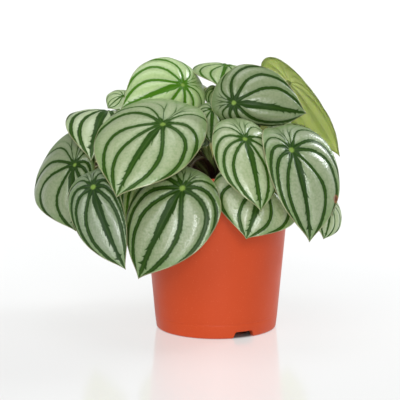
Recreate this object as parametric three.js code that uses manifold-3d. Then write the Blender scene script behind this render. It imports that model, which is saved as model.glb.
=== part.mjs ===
// A potted watermelon peperomia: a clump of shield-shaped leaves on stalks that rise from one
// crown, in potting soil, in a plain plastic nursery pot.
// Millimetres, +Z up, the front towards -Y. The origin is the middle of the pot's underside.

import * as THREE from 'three';
import { mergeVertices } from 'three/addons/utils/BufferGeometryUtils.js';
import Module from 'manifold-3d';

const wasm = await Module();
wasm.setup();

// ---- Pot ----
const POT_HEIGHT = 126;
const BASE_RADIUS = 47.6;
const WALL_TOP_RADIUS = 57.2;
const WALL_TOP_HEIGHT = 107;
const LIP_RADIUS = 60.6;
const WALL = 1.3;
const COLLAR_STEP = 2.4;
const FOOT_HEIGHT = 5.6;
const FOOT_INNER_RADIUS = 42.5;
const DISC_RADIUS = 26;
const FLOOR = 1.5;
const POT_SIDES = 48;
const NOTCH_COUNT = 3;
const NOTCH_FIRST_ANGLE = -63;
const NOTCH_WIDTH = 19;
const NOTCH_TOP_WIDTH = 14;
const NOTCH_HEIGHT = 5.2;

// ---- Soil ----
const SOIL_LEVEL = 113;
const SOIL_BUMP = 1.4;
const SOIL_SIDES = 36;
const SOIL_RINGS = [45, 33, 21, 0];
const GAP = 0.3;

// ---- Crown and stalks ----
const CROWN_RADIUS = 9.6;
const CROWN_TOP = 122;
const CROWN_DEPTH = 18;
const STALK_RADIUS = 1.6;
const STALK_SIDES = 6;
const STALK_STEPS = 7;
const STALK_GAP = 0.6;

// ---- Blades ----
const BLADE_THICKNESS = 1.1;
const MARGIN_THICKNESS = 0.7;
const SIDE_VEINS = 5;
const COLUMNS = 4 * SIDE_VEINS;
const RINGS = [0.34, 0.7, 1];
const FAN_WIDTH = 0.52;
const VEIN_SPREAD = 2.1;
const VEIN_LEAD = 0.5;
const WIDEST_AT = 0.2;
const PUCKER = 0.8;
const DIMPLE = 1.2;

// ---- Colours ----
const POT_COLOUR = 0xc2532e;
const SOIL_COLOUR = 0x2a1c14;
const STALK_COLOUR = 0x6b5a34;
const LEAF_COLOUR = 0x86a06f;

// Every blade, as it stands on the plant. Each row gives:
//   navel [x, y, z], where the stalk meets the blade, and tip [x, y, z];
//   face [turn, lift] in degrees: turn 0 faces -Y and 90 faces +X, lift 90 faces up;
//   half widths, on the two sides of the midrib, and length behind the navel;
//   bend [to the tip, behind the navel] and bend of each side, in degrees;
//   fold along the midrib, in degrees: below 0 the sides rise first;
//   rise, how far above the blade's own back the stalk comes in.
const BLADES = [
  // the front, as in the photograph
  [[-40, -50, 166], [-73, -84, 116], [-20, 32], [36, 48], 37, [35, 25], [38, 28], -4, 0],
  [[-25, -78, 122], [-57, -88, 56], [-22, 12], [36, 38], 22, [30, 50], [30, 35], 0, 38],
  [[21, -74, 158], [32, -102, 109], [16, 35], [29, 26], 30, [40, 30], [60, 35], -2, 6],
  [[35, -67, 123], [22, -82, 85], [8, 15], [34, 37], 23, [35, 40], [30, 35], 0, 38],
  [[55, -75, 150], [68, -89, 84], [28, 10], [37, 24], 28, [40, 50], [40, 30], -12, 14],
  [[13, -40, 181], [68, -30, 172], [5, 14], [35, 21], 19, [35, 40], [40, 95], 0, 0],
  [[58, 20, 192], [97, 10, 134], [130, 20], [26, 22], 27, [18, 20], [30, 30], 0, 0],
  [[-26, 1, 191], [-73, -13, 174], [-10, 22], [28, 32], 22, [35, 40], [30, 30], 0, 0],
  [[8, 26, 204], [2, -6, 190], [0, 34], [30, 26], 16, [30, 40], [25, 25], 0, 0],
  [[-3, -22, 174], [-4, -38, 150], [0, 30], [14, 14], 11, [30, 40], [30, 30], 0, 0],
  [[-85, 16, 169], [-96, -26, 135], [-10, 50], [20, 30], 18, [80, 30], [15, 15], 0, 0],
  [[-75, 42, 178], [-87, 36, 169], [-20, 40], [14, 14], 10, [30, 30], [30, 30], 0, 0],
  [[-110, -12, 130], [-108, -30, 81], [-30, 25], [17, 44], 38, [40, 16], [35, 30], 0, 14],
  [[-92, -60, 120], [-67, -78, 61], [-18, 20], [18, 25], 22, [50, 50], [28, 32], -6, 20],
  [[-47, -49, 137], [-62, -62, 84], [-20, 15], [22, 23], 17, [35, 40], [30, 35], 0, 14],
  [[88, -10, 100], [83, -24, 74], [35, 2], [18, 22], 11, [40, 8], [30, 30], 0, 62],
  // the right, the back and the left, round the clump
  [[74, 35, 143], [90, 44, 96], [103, 25], [32, 32], 24, [36, 40], [30, 30], 0, 8],
  [[54, 72, 152], [74, 104, 110], [146, 32], [34, 34], 26, [38, 40], [32, 32], 0, 4],
  [[8, 86, 140], [12, 112, 86], [176, 26], [35, 35], 26, [36, 40], [32, 32], 0, 8],
  [[-28, 84, 152], [-42, 114, 106], [200, 32], [31, 31], 25, [36, 40], [32, 32], 0, 4],
  [[-82, 56, 144], [-106, 82, 98], [229, 28], [33, 33], 25, [36, 40], [32, 32], 0, 6],
  [[-110, 20, 120], [-126, 30, 80], [255, 25], [27, 27], 22, [36, 30], [30, 30], 0, 30],
  [[28, 56, 182], [50, 96, 156], [152, 48], [32, 32], 24, [34, 36], [30, 30], 0, 0],
  [[-34, 52, 188], [-56, 92, 164], [210, 48], [32, 32], 24, [34, 36], [30, 30], 0, 0],
  [[68, 4, 156], [88, -6, 130], [62, 35], [20, 20], 15, [36, 40], [30, 30], 0, 0],
  [[54, 84, 106], [62, 98, 62], [146, 12], [30, 30], 21, [32, 10], [30, 30], 0, 42],
  [[-40, 94, 104], [-48, 108, 60], [203, 12], [29, 29], 21, [32, 10], [30, 30], 0, 46],
  [[-92, 72, 106], [-103, 86, 62], [228, 12], [27, 27], 20, [32, 10], [30, 30], 0, 40],
  // smaller leaves under the canopy
  [[52, -20, 160], [68, -36, 140], [30, 45], [16, 16], 13, [34, 36], [30, 30], 0, 0],
  [[-50, 0, 160], [-74, -10, 140], [-60, 45], [19, 19], 14, [34, 36], [30, 30], 0, 0],
  [[-2, 42, 168], [-6, 68, 152], [184, 50], [20, 20], 15, [34, 36], [30, 30], 0, 0],
  [[38, 30, 166], [52, 48, 151], [135, 50], [16, 16], 12, [34, 36], [30, 30], 0, 0],
  [[-50, 22, 172], [-68, 32, 158], [242, 50], [17, 17], 13, [34, 36], [30, 30], 0, 0],
  // young leaves in the middle
  [[-1, 15, 186], [-3, -1, 172], [0, 30], [11, 8], 10, [30, 30], [30, 30], 0, 0],
  [[-18, 24, 174], [-32, 22, 165], [-50, 50], [12, 12], 9, [30, 30], [30, 30], 0, 0],
  [[22, 18, 176], [38, 12, 168], [60, 50], [12, 12], 9, [30, 30], [30, 30], 0, 0],
  // leaves in the shade of the others
  [[74, -38, 133], [88, -48, 96], [65, 20], [23, 23], 17, [36, 30], [30, 30], 0, 10],
  [[-80, -22, 143], [-94, -32, 108], [-75, 18], [20, 20], 16, [36, 30], [30, 30], 0, 8],
  [[20, -26, 157], [27, -42, 148], [15, 50], [13, 13], 10, [30, 30], [30, 30], 0, 0],
  [[-16, -20, 152], [-20, -34, 144], [-10, 55], [12, 12], 10, [30, 30], [30, 30], 0, 0],
];

// ---- Closed solids ----

// Keeps only the positions, joins vertices that coincide and drops triangles left with no area.
function closedGeometry(source) {
  const bare = source.clone();
  bare.deleteAttribute('normal');
  bare.deleteAttribute('uv');
  const merged = mergeVertices(bare, 1e-4);
  const index = merged.index.array;
  const kept = [];
  for (let i = 0; i < index.length; i += 3) {
    const [a, b, c] = [index[i], index[i + 1], index[i + 2]];
    if (a !== b && b !== c && c !== a) kept.push(a, b, c);
  }
  merged.setIndex(kept);
  return merged;
}

function toSolid(source) {
  const geometry = closedGeometry(source);
  const vertProperties = new Float32Array(geometry.attributes.position.array);
  const triVerts = new Uint32Array(geometry.index.array);
  return new wasm.Manifold(new wasm.Mesh({ numProp: 3, vertProperties, triVerts }));
}

function toGeometry(solid) {
  const mesh = solid.getMesh();
  const geometry = new THREE.BufferGeometry();
  geometry.setAttribute('position', new THREE.Float32BufferAttribute(mesh.vertProperties, 3));
  geometry.setIndex(new THREE.Uint32BufferAttribute(mesh.triVerts, 1));
  return geometry;
}

// A profile of [radius, height] points, turned about the Z axis.
function turned(profile, sides) {
  const points = profile.map(([radius, height]) => new THREE.Vector2(radius, height));
  return new THREE.LatheGeometry(points, sides).rotateX(Math.PI / 2);
}

// ---- Pot ----

function wallRadius(height) {
  return THREE.MathUtils.mapLinear(height, 0, WALL_TOP_HEIGHT, BASE_RADIUS, WALL_TOP_RADIUS);
}

function potBody() {
  const floorTop = FOOT_HEIGHT + FLOOR;
  const collarFoot = WALL_TOP_HEIGHT + COLLAR_STEP;
  const outside = [
    [0, 0], [DISC_RADIUS, 0], [DISC_RADIUS + 1.2, FOOT_HEIGHT],
    [FOOT_INNER_RADIUS - 1, FOOT_HEIGHT], [FOOT_INNER_RADIUS, 0],
    [BASE_RADIUS - 1.4, 0], [BASE_RADIUS - 0.3, 0.5], [wallRadius(1.8), 1.8],
    [WALL_TOP_RADIUS, WALL_TOP_HEIGHT], [WALL_TOP_RADIUS + COLLAR_STEP, collarFoot],
    [LIP_RADIUS - 0.2, POT_HEIGHT - 2.4], [LIP_RADIUS, POT_HEIGHT - 1.2],
    [LIP_RADIUS - 0.5, POT_HEIGHT],
  ];
  const inside = [
    [LIP_RADIUS - 1.6, POT_HEIGHT], [LIP_RADIUS - 2, POT_HEIGHT - 1.2],
    [WALL_TOP_RADIUS + COLLAR_STEP - WALL, collarFoot + 0.6],
    [WALL_TOP_RADIUS - WALL, WALL_TOP_HEIGHT + 0.6], [wallRadius(floorTop) - WALL, floorTop],
    [DISC_RADIUS, floorTop], [DISC_RADIUS - 1.2, FLOOR], [0, FLOOR],
  ];
  return toSolid(turned([...outside, ...inside], POT_SIDES));
}

// A drainage notch: a flat-topped gap in the foot of the wall, wider below.
function notchCutter(angle) {
  const shape = new THREE.Shape([
    new THREE.Vector2(-NOTCH_WIDTH / 2, -1), new THREE.Vector2(NOTCH_WIDTH / 2, -1),
    new THREE.Vector2(NOTCH_TOP_WIDTH / 2, NOTCH_HEIGHT),
    new THREE.Vector2(-NOTCH_TOP_WIDTH / 2, NOTCH_HEIGHT),
  ]);
  const depth = BASE_RADIUS - FOOT_INNER_RADIUS + 6;
  const block = new THREE.ExtrudeGeometry(shape, { depth, bevelEnabled: false });
  block.rotateX(Math.PI / 2).rotateZ(Math.PI / 2);
  block.translate(FOOT_INNER_RADIUS - 3, 0, 0);
  return toSolid(block.rotateZ(THREE.MathUtils.degToRad(angle)));
}

function potGeometry() {
  let pot = potBody();
  for (let i = 0; i < NOTCH_COUNT; i += 1) {
    pot = pot.subtract(notchCutter(NOTCH_FIRST_ANGLE + (360 / NOTCH_COUNT) * i));
  }
  return toGeometry(pot);
}

// ---- Soil ----

// Low uneven lumps, flat towards the pot's wall.
function soilHeight(x, y) {
  const lumps = Math.sin(0.21 * x + 1.3) * Math.cos(0.17 * y - 0.6)
    + 0.6 * Math.sin(0.43 * x - 0.35 * y);
  const toWall = Math.hypot(x, y) / WALL_TOP_RADIUS;
  return SOIL_LEVEL + SOIL_BUMP * lumps * (1 - toWall ** 4);
}

function soilGeometry() {
  const floorTop = FOOT_HEIGHT + FLOOR + GAP;
  const side = WALL + GAP;
  const profile = [
    [0, FLOOR + GAP], [DISC_RADIUS - 1.8, FLOOR + GAP], [DISC_RADIUS - 0.6, floorTop],
    [wallRadius(floorTop) - side, floorTop], [WALL_TOP_RADIUS - side, WALL_TOP_HEIGHT],
    [WALL_TOP_RADIUS - side, SOIL_LEVEL], ...SOIL_RINGS.map((radius) => [radius, SOIL_LEVEL]),
  ];
  const geometry = turned(profile, SOIL_SIDES);
  const position = geometry.attributes.position;
  for (let i = 0; i < position.count; i += 1) {
    const onTop = Math.abs(position.getZ(i) - SOIL_LEVEL) < 0.01;
    if (onTop) position.setZ(i, soilHeight(position.getX(i), position.getY(i)));
  }
  return toGeometry(toSolid(geometry).subtract(toSolid(crownBody(GAP))));
}

// ---- Blade form ----

function bladeFrom(row) {
  const [navel, tip, [turn, lift], halves, back, [tipBend, backBend], sideBends, fold, rise] = row;
  const rad = THREE.MathUtils.degToRad;
  const start = new THREE.Vector3(...navel);
  const chord = new THREE.Vector3(...tip).sub(start);
  const level = Math.cos(rad(lift));
  const face = new THREE.Vector3(
    Math.sin(rad(turn)) * level, -Math.cos(rad(turn)) * level, Math.sin(rad(lift)));
  const length = chord.length();
  const forward = chord.normalize();
  const up = face.addScaledVector(forward, -face.dot(forward)).normalize();
  const sideways = new THREE.Vector3().crossVectors(up, forward);
  const halfBend = rad(tipBend) / 2;
  return {
    start, forward, up, sideways, halves, back, rise,
    reach: (length * halfBend) / Math.sin(halfBend),
    tipBend: rad(tipBend), backBend: rad(backBend), sideBends: sideBends.map(rad), fold: rad(fold),
  };
}

// The blade's outline on one side of the midrib, laid flat: share 0 is the tip and 1 the back.
function halfOutline({ reach, back }, half) {
  const point = (x, y) => new THREE.Vector2(x, y);
  const widest = WIDEST_AT * reach;
  const front = new THREE.CubicBezierCurve(
    point(reach, 0), point(0.85 * reach, 0.18 * half),
    point(widest + 0.62 * (reach - widest), half), point(widest, half));
  const rear = new THREE.CubicBezierCurve(
    point(widest, half), point(widest - 0.55 * (back + widest), half),
    point(-back, 0.6 * half), point(-back, 0));
  return (share) => (share < 0.5 ? front.getPoint(2 * share) : rear.getPoint(2 * share - 1));
}

// A line of the vein fan, from the navel to the margin. Turn 0 is the midrib, and 1 or -1 runs
// straight back. The fan is laid out on a side of standard width, then drawn in to this one.
function fanLine(blade, turn) {
  const standard = FAN_WIDTH * blade.reach;
  const end = halfOutline(blade, standard)(Math.abs(turn) ** VEIN_SPREAD);
  const heading = Math.PI * Math.abs(turn);
  const lead = VEIN_LEAD * end.length();
  const sideways = turn < 0 ? -blade.halves[1] / standard : blade.halves[0] / standard;
  const control = new THREE.Vector2(lead * Math.cos(heading), sideways * lead * Math.sin(heading));
  const margin = new THREE.Vector2(end.x, sideways * end.y);
  return new THREE.QuadraticBezierCurve(new THREE.Vector2(), control, margin);
}

// How far the blade stands above its own sheet: it swells between the sunken veins and dips
// at the navel.
function relief(blade, turn, share, distance) {
  const between = 0.5 - 0.5 * Math.cos(2 * Math.PI * SIDE_VEINS * turn);
  const swell = 0.8 * Math.sin(Math.PI * share ** 0.8) + 0.2 * share;
  const dip = Math.exp(-((distance / (0.09 * blade.reach)) ** 2));
  return PUCKER * between * swell * (1 - 0.5 * Math.abs(turn)) - DIMPLE * dip;
}

// Carries a point of the flat blade, at some height over it, to its place on the bent blade.
function bentPoint(blade, x, y, height) {
  const { start, forward, up, sideways, reach, back, tipBend, backBend, sideBends, halves, fold } = blade;
  const first = tipBend / 2;
  const ahead = Math.max(x, 0);
  const behind = Math.max(-x, 0);
  const frontCurve = tipBend / reach;
  const backCurve = backBend / back;
  const along = (Math.sin(first) - Math.sin(first - frontCurve * ahead)) / frontCurve
    - (Math.sin(first + backCurve * behind) - Math.sin(first)) / backCurve;
  const above = (Math.cos(first - frontCurve * ahead) - Math.cos(first)) / frontCurve
    - (Math.cos(first) - Math.cos(first + backCurve * behind)) / backCurve;
  const slope = first - frontCurve * ahead + backCurve * behind;
  const normal = up.clone().multiplyScalar(Math.cos(slope)).addScaledVector(forward, -Math.sin(slope));
  const side = Math.sign(y);
  const which = y < 0 ? 1 : 0;
  const sideCurve = sideBends[which] / halves[which];
  const tilt = fold + sideCurve * Math.abs(y);
  const across = (Math.sin(tilt) - Math.sin(fold)) / sideCurve;
  const drop = (Math.cos(fold) - Math.cos(tilt)) / sideCurve;
  return start.clone()
    .addScaledVector(forward, along)
    .addScaledVector(up, above)
    .addScaledVector(sideways, side * (across + height * Math.sin(tilt)))
    .addScaledVector(normal, height * Math.cos(tilt) - drop);
}

// The blade as a closed solid. Both faces are split into triangles alike.
function bladeGeometry(blade) {
  const positions = [];
  const add = (x, y, height) => positions.push(...bentPoint(blade, x, y, height).toArray());
  for (const face of [1, -1]) {
    add(0, 0, relief(blade, 0, 0, 0) + (face * BLADE_THICKNESS) / 2);
    for (const share of RINGS) {
      const thickness = THREE.MathUtils.lerp(BLADE_THICKNESS, MARGIN_THICKNESS, share);
      for (let column = 0; column < COLUMNS; column += 1) {
        const turn = (2 * column) / COLUMNS - 1;
        const flat = fanLine(blade, turn).getPoint(share);
        add(flat.x, flat.y, relief(blade, turn, share, flat.length()) + (face * thickness) / 2);
      }
    }
  }
  const index = [];
  const perFace = 1 + RINGS.length * COLUMNS;
  const at = (face, ring, column) => face * perFace + 1 + ring * COLUMNS + (column % COLUMNS);
  const triangle = (face, a, b, c) => index.push(...(face === 0 ? [a, b, c] : [a, c, b]));
  for (let column = 0; column < COLUMNS; column += 1) {
    for (const face of [0, 1]) {
      triangle(face, face * perFace, at(face, 0, column), at(face, 0, column + 1));
      for (let ring = 1; ring < RINGS.length; ring += 1) {
        triangle(face, at(face, ring - 1, column), at(face, ring, column), at(face, ring, column + 1));
        triangle(
          face, at(face, ring - 1, column), at(face, ring, column + 1), at(face, ring - 1, column + 1));
      }
    }
    const last = RINGS.length - 1;
    index.push(at(0, last, column), at(1, last, column), at(1, last, column + 1));
    index.push(at(0, last, column), at(1, last, column + 1), at(0, last, column + 1));
  }
  const geometry = new THREE.BufferGeometry();
  geometry.setAttribute('position', new THREE.Float32BufferAttribute(positions, 3));
  geometry.setIndex(index);
  return geometry;
}

// ---- Crown and stalks ----

function crownBody(margin) {
  const radius = CROWN_RADIUS + margin;
  const foot = SOIL_LEVEL - CROWN_DEPTH - margin;
  return turned([
    [0, foot], [radius * 0.8, foot], [radius, foot + 4], [radius, SOIL_LEVEL + 3],
    [radius * 0.8, CROWN_TOP - 2], [0, CROWN_TOP + margin],
  ], 16);
}

// A stalk leaves the crown on its blade's side and comes up against the navel from beneath.
function stalkPath(blade) {
  const { start, up, forward, rise, tipBend } = blade;
  const bearing = Math.atan2(start.y, start.x);
  const spread = Math.min(Math.hypot(start.x, start.y) / 100, 1);
  const root = new THREE.Vector3(
    7 * spread * Math.cos(bearing), 7 * spread * Math.sin(bearing), CROWN_TOP - 3 - 5 * spread);
  const normal = up.clone()
    .multiplyScalar(Math.cos(tipBend / 2))
    .addScaledVector(forward, -Math.sin(tipBend / 2));
  const span = start.distanceTo(root);
  const inward = normal.clone().multiplyScalar(-0.35 * span).add(new THREE.Vector3(0, 0, rise));
  const lean = inward.clone().normalize().cross(normal).length();
  const clearance = BLADE_THICKNESS / 2 + STALK_GAP + STALK_RADIUS * lean + DIMPLE;
  const end = start.clone().addScaledVector(normal, -clearance);
  const climb = new THREE.Vector3(0.25 * spread * Math.cos(bearing), 0.25 * spread * Math.sin(bearing), 0.4)
    .multiplyScalar(span);
  return new THREE.CubicBezierCurve3(root, root.clone().add(climb), end.clone().add(inward), end);
}

function stalkSolid(blade) {
  const corners = [];
  for (let i = 0; i < STALK_SIDES; i += 1) {
    const angle = (2 * Math.PI * i) / STALK_SIDES;
    corners.push(new THREE.Vector2(STALK_RADIUS * Math.cos(angle), STALK_RADIUS * Math.sin(angle)));
  }
  const section = new THREE.Shape(corners);
  const extrude = { steps: STALK_STEPS, extrudePath: stalkPath(blade) };
  return toSolid(new THREE.ExtrudeGeometry(section, extrude));
}

function stemsGeometry(blades) {
  let stems = toSolid(crownBody(0));
  for (const blade of blades) stems = stems.add(stalkSolid(blade));
  return toGeometry(stems);
}

// ---- The whole plant ----

function named(name, geometry, colour, roughness) {
  geometry.computeVertexNormals();
  const material = new THREE.MeshStandardMaterial({ color: colour, roughness, metalness: 0 });
  const mesh = new THREE.Mesh(geometry, material);
  mesh.name = name;
  return mesh;
}

function pottedPlant() {
  const group = new THREE.Group();
  const blades = BLADES.map(bladeFrom);
  group.add(named('pot', potGeometry(), POT_COLOUR, 0.45));
  group.add(named('soil', soilGeometry(), SOIL_COLOUR, 0.95));
  group.add(named('stems', stemsGeometry(blades), STALK_COLOUR, 0.5));
  blades.forEach((blade, i) => {
    const name = `leaf_${String(i + 1).padStart(2, '0')}`;
    group.add(named(name, bladeGeometry(blade), LEAF_COLOUR, 0.35));
  });
  return group;
}

export default pottedPlant();
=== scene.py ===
"""The looks of a potted watermelon peperomia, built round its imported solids."""

import math
from functools import partialmethod
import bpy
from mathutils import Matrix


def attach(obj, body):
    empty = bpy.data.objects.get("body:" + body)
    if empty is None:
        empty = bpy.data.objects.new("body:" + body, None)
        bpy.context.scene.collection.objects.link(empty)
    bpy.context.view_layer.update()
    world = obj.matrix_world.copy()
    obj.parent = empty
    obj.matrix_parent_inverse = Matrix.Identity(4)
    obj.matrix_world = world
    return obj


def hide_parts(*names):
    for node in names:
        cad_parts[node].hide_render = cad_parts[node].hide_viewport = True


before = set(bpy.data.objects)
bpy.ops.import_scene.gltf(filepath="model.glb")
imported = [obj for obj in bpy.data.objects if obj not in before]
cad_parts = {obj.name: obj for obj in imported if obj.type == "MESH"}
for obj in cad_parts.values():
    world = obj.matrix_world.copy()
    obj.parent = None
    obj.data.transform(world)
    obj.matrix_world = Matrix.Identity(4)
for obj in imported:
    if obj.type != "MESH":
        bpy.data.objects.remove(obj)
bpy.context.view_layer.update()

from types import SimpleNamespace

import bpy
import numpy as np
from mathutils import Vector, noise

MM = 0.001
RNG = np.random.default_rng(7)

# ---- Pot, in millimetres, as in the solids but with finer detail ----
POT_HEIGHT = 126
BASE_RADIUS = 47.6
WALL_TOP_RADIUS = 57.2
WALL_TOP_HEIGHT = 107
LIP_RADIUS = 60.6
WALL = 1.3
COLLAR_STEP = 2.4
FOOT_HEIGHT = 5.6
FOOT_INNER_RADIUS = 42.5
DISC_RADIUS = 26
FLOOR = 1.5
POT_SIDES = 192
NOTCH_COUNT = 3
NOTCH_FIRST_ANGLE = -63
NOTCH_WIDTH = 19
NOTCH_TOP_WIDTH = 14
NOTCH_HEIGHT = 5.2
MOULD_LINE = 11
MOULD_LINE_HALF_WIDTH = 0.5
MOULD_LINE_DEPTH = 0.16
DISC_SLOPE = 1.2
ROUNDING_STEPS = 4
POT_CREASE_ANGLE = 40

# ---- Soil ----
SOIL_LEVEL = 113
SOIL_BUMP = 1.4
SOIL_SIDES = 144
SOIL_RINGS = 54
SOIL_SIDE_GAP = 0.1
SOIL_FLOOR_GAP = 0.2
SOIL_GRAINS = 420
PERLITE_SHARE = 0.2

# ---- Crown and stalks ----
CROWN_RADIUS = 9.6
CROWN_TOP = 122
CROWN_SIDES = 48
STALK_RADIUS = 1.6
STALK_SIDES = 14
STALK_STEPS = 26
STALK_CROWDING = 0.12
LARGEST_STALK = 1.1

# A stalk's root lies under the crown's top, farther out and lower for a blade farther from the
# middle. The pulls at both ends of its curve are shares of the way from its root to the navel.
ROOT_DEPTH = 3
ROOT_FALL = 5
ROOT_RADIUS = 7
FARTHEST_NAVEL = 100
ROOT_CLIMB = 0.4
ROOT_LEAN = 0.25
END_PULL = 0.35

# ---- Blades ----
BLADE_THICKNESS = 1.1
MARGIN_THICKNESS = 0.7
SIDE_VEINS = 5
SIDE_COLUMNS = 60
COLUMNS = 2 * SIDE_COLUMNS
COLUMN_SPREAD = 1.5
RINGS = 22
RING_CROWDING = 0.1
RIM_STEPS = 3
FAN_WIDTH = 0.52
WIDEST_AT = 0.2
TIP_HANDLE = (0.85, 0.18)
FRONT_FULLNESS = 0.62
BACK_FULLNESS = (0.55, 0.6)
DIMPLE = 1.2
DIMPLE_SHARE = 0.09
USUAL_REACH = 70
BLADE_SEED = 100

# A stalk ends a little way inside its blade, under the dimple at the navel.
STALK_END_DEPTH = BLADE_THICKNESS / 2 + DIMPLE - 0.3

# The veins leave the navel evenly spread, turn late, and then run with the margin to the tip.
# Headings are degrees from the midrib, on the side of the first half width and on the other.
VEIN_HEADINGS = (32, 74, 112, 147)
OWN_HEADINGS = {
    1: [(33, 85, 120, 160), (28, 57, 102, 125)],
    2: [(28, 86, 120, 150), (37, 67, 100, 130)],
    3: [(22, 60, 100, 150), (41, 75, 118, 154)],
}
VEIN_TURN = 4
MARGIN_SPREAD = 2.4
VEIN_STRAY = 4
PUCKER = 1.2
FULL_SWELL_SPACING = 8
WIDEST_SPACING = 40

# ---- A blade's markings, with their sizes in millimetres on a blade of the usual reach ----
# The curves run from 0 to 1, by vein from the midrib round to the back, or by share of the way out.
VEIN_WAVER = 0.14
BAND_HALF_WIDTH = 3.1
BAND_BY_VEIN = [(0, 1), (0.2, 0.47), (0.4, 0.47), (0.6, 0.44), (0.8, 0.24), (1, 0)]
BAND_BY_SHARE = [(0, 1), (0.3, 1), (0.6, 0.72), (0.85, 0.45), (1, 0.2)]
CROWDED_SPACING = 6
STAR_REACH = 9
STAR_WIDENING = 1.7
MIDRIB_FLARE_REACH = 22
MIDRIB_FLARE = 0.9
HAIRLINE_HALF_WIDTH = 0.3
FIRST_HAIRLINE = 4.27
FAR_OFF = 9
TEETH = 11
TOOTH_LENGTH = 3.2
TOOTH_BY_VEIN = [(0, 1), (0.2, 0.3), (0.6, 0.2), (1, 0.05)]
FRAYING = 1.3

# ---- Colours, in linear light. Where a name holds two, a material wanders between them ----
BAND_GREENS = (0.01, 0.036, 0.002), (0.024, 0.066, 0.004)
FRESH_BAND = (0.05, 0.16, 0.004)
GREY_BAND = (0.022, 0.05, 0.016)
# Painted shade: the bands of a blade with a tone below 0 are darkened towards the next colour.
SHADED_BAND = (0.006, 0.02, 0.001)
VEIN_IN_BAND = (0.055, 0.13, 0.012)
SILVERS = (0.265, 0.325, 0.17), (0.36, 0.395, 0.24)
GREY_SILVER = (0.25, 0.3, 0.215)
FRESH_SILVER = (0.29, 0.46, 0.11)
# The next two are partly a blade's own tone and partly painted light and shade: the pale one paints
# blades that catch the light, the dark one paints blades in shade.
PALE_AND_LIT_SILVER = (0.6, 0.7, 0.44)
SHADED_SILVER = (0.07, 0.105, 0.04)
# Painted shade in the hollows between the pebbles of the silver's bump.
SHADE_BETWEEN_PEBBLES = (0.76, 0.84, 0.72)
SILVER_BY_BAND = (0.11, 0.21, 0.05)
SILVER_BY_MARGIN = (0.115, 0.225, 0.038)
SILVER_BY_NAVEL = (0.09, 0.16, 0.05)
NAVEL_EYE = (0.18, 0.285, 0.05)
LEAF_RIM = (0.4, 0.36, 0.21)
BLEMISH_EDGE, BLEMISH_MIDDLE = (0.23, 0.11, 0.045), (0.09, 0.03, 0.015)
# The undersides' pale green is partly their own and partly painted light: it is made lighter to stand
# for the light that shines through the leaf.
UNDERSIDES_LIT_THROUGH = (0.47, 0.52, 0.19), (0.56, 0.6, 0.26)
UNDERSIDE_RIDGE = (0.7, 0.74, 0.38)
UNDERSIDE_RIM = (0.23, 0.27, 0.08)
# The stalks' red and olive are partly their own colour and partly painted shade, darkened to near black
# for the shade among the stalks inside the crown.
SHADED_OLIVE_STALKS = (0.036, 0.022, 0.01), (0.07, 0.048, 0.018)
SHADED_RED_STALKS = (0.02, 0.005, 0.005), (0.038, 0.009, 0.007)
STALK_TIP = (0.13, 0.15, 0.05)
FRESH_STALK = (0.22, 0.3, 0.08)
STALK_SPECKLE = (0.3, 0.25, 0.11)
POT_ORANGES = (0.5, 0.053, 0.008), (0.545, 0.063, 0.012)
POT_SPECKLE = (0.56, 0.085, 0.026)
PEATS = (0.01, 0.006, 0.004), (0.06, 0.036, 0.022)
PEAT_FIBRE = (0.13, 0.08, 0.04)
BARKS = (0.03, 0.015, 0.008), (0.14, 0.075, 0.035)
PERLITES = (0.48, 0.46, 0.41), (0.78, 0.77, 0.73)
FLOOR_GREYS = (0.35, 0.35, 0.346), (0.356, 0.356, 0.353)
FLOOR_GLOWS = (0.985, 0.985, 0.972), (1, 1, 0.99)

# ---- Camera, in metres and degrees, with its lens in millimetres ----
CAMERA_PLACE = (0, -1.2, 0.295)
CAMERA_TURN = (90 - 9.21, 0, 0.61)
CAMERA_LENS = 139.3

# ---- Light ----
FLOOR_GLOW = 0.55
FLOOR_HALF_SIZE = 9000
FLOOR_DROP = 0.05
BACKDROP_WHITE = 0.93
BACKDROP_TINT = (0.985, 0.985, 0.975, 1)
ROOM_LIGHT = 0.28
ROOM_FRONT = 0.4
ROOM_TINT = (0.97, 0.985, 1.0, 1)

# Lamps by name, place, width, height, power and, where it isn't white, colour.
LAMPS_AIM = (0, 0, 0.12)
LAMPS = [
    ("window", (1.15, 0.6, 1.0), 0.6, 0.6, 15, (0.93, 0.97, 1.0)),
    ("softbox", (0.15, -1.9, 0.8), 0.4, 0.4, 12, (0.97, 0.99, 1.0)),
    ("overhead", (-0.1, 0.0, 1.7), 1.0, 1.0, 7),
    ("front", (0.1, -2.1, 0.3), 1.0, 0.5, 9),
    ("fill", (-1.0, -1.6, 1.3), 1.4, 1.2, 17),
]

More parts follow.
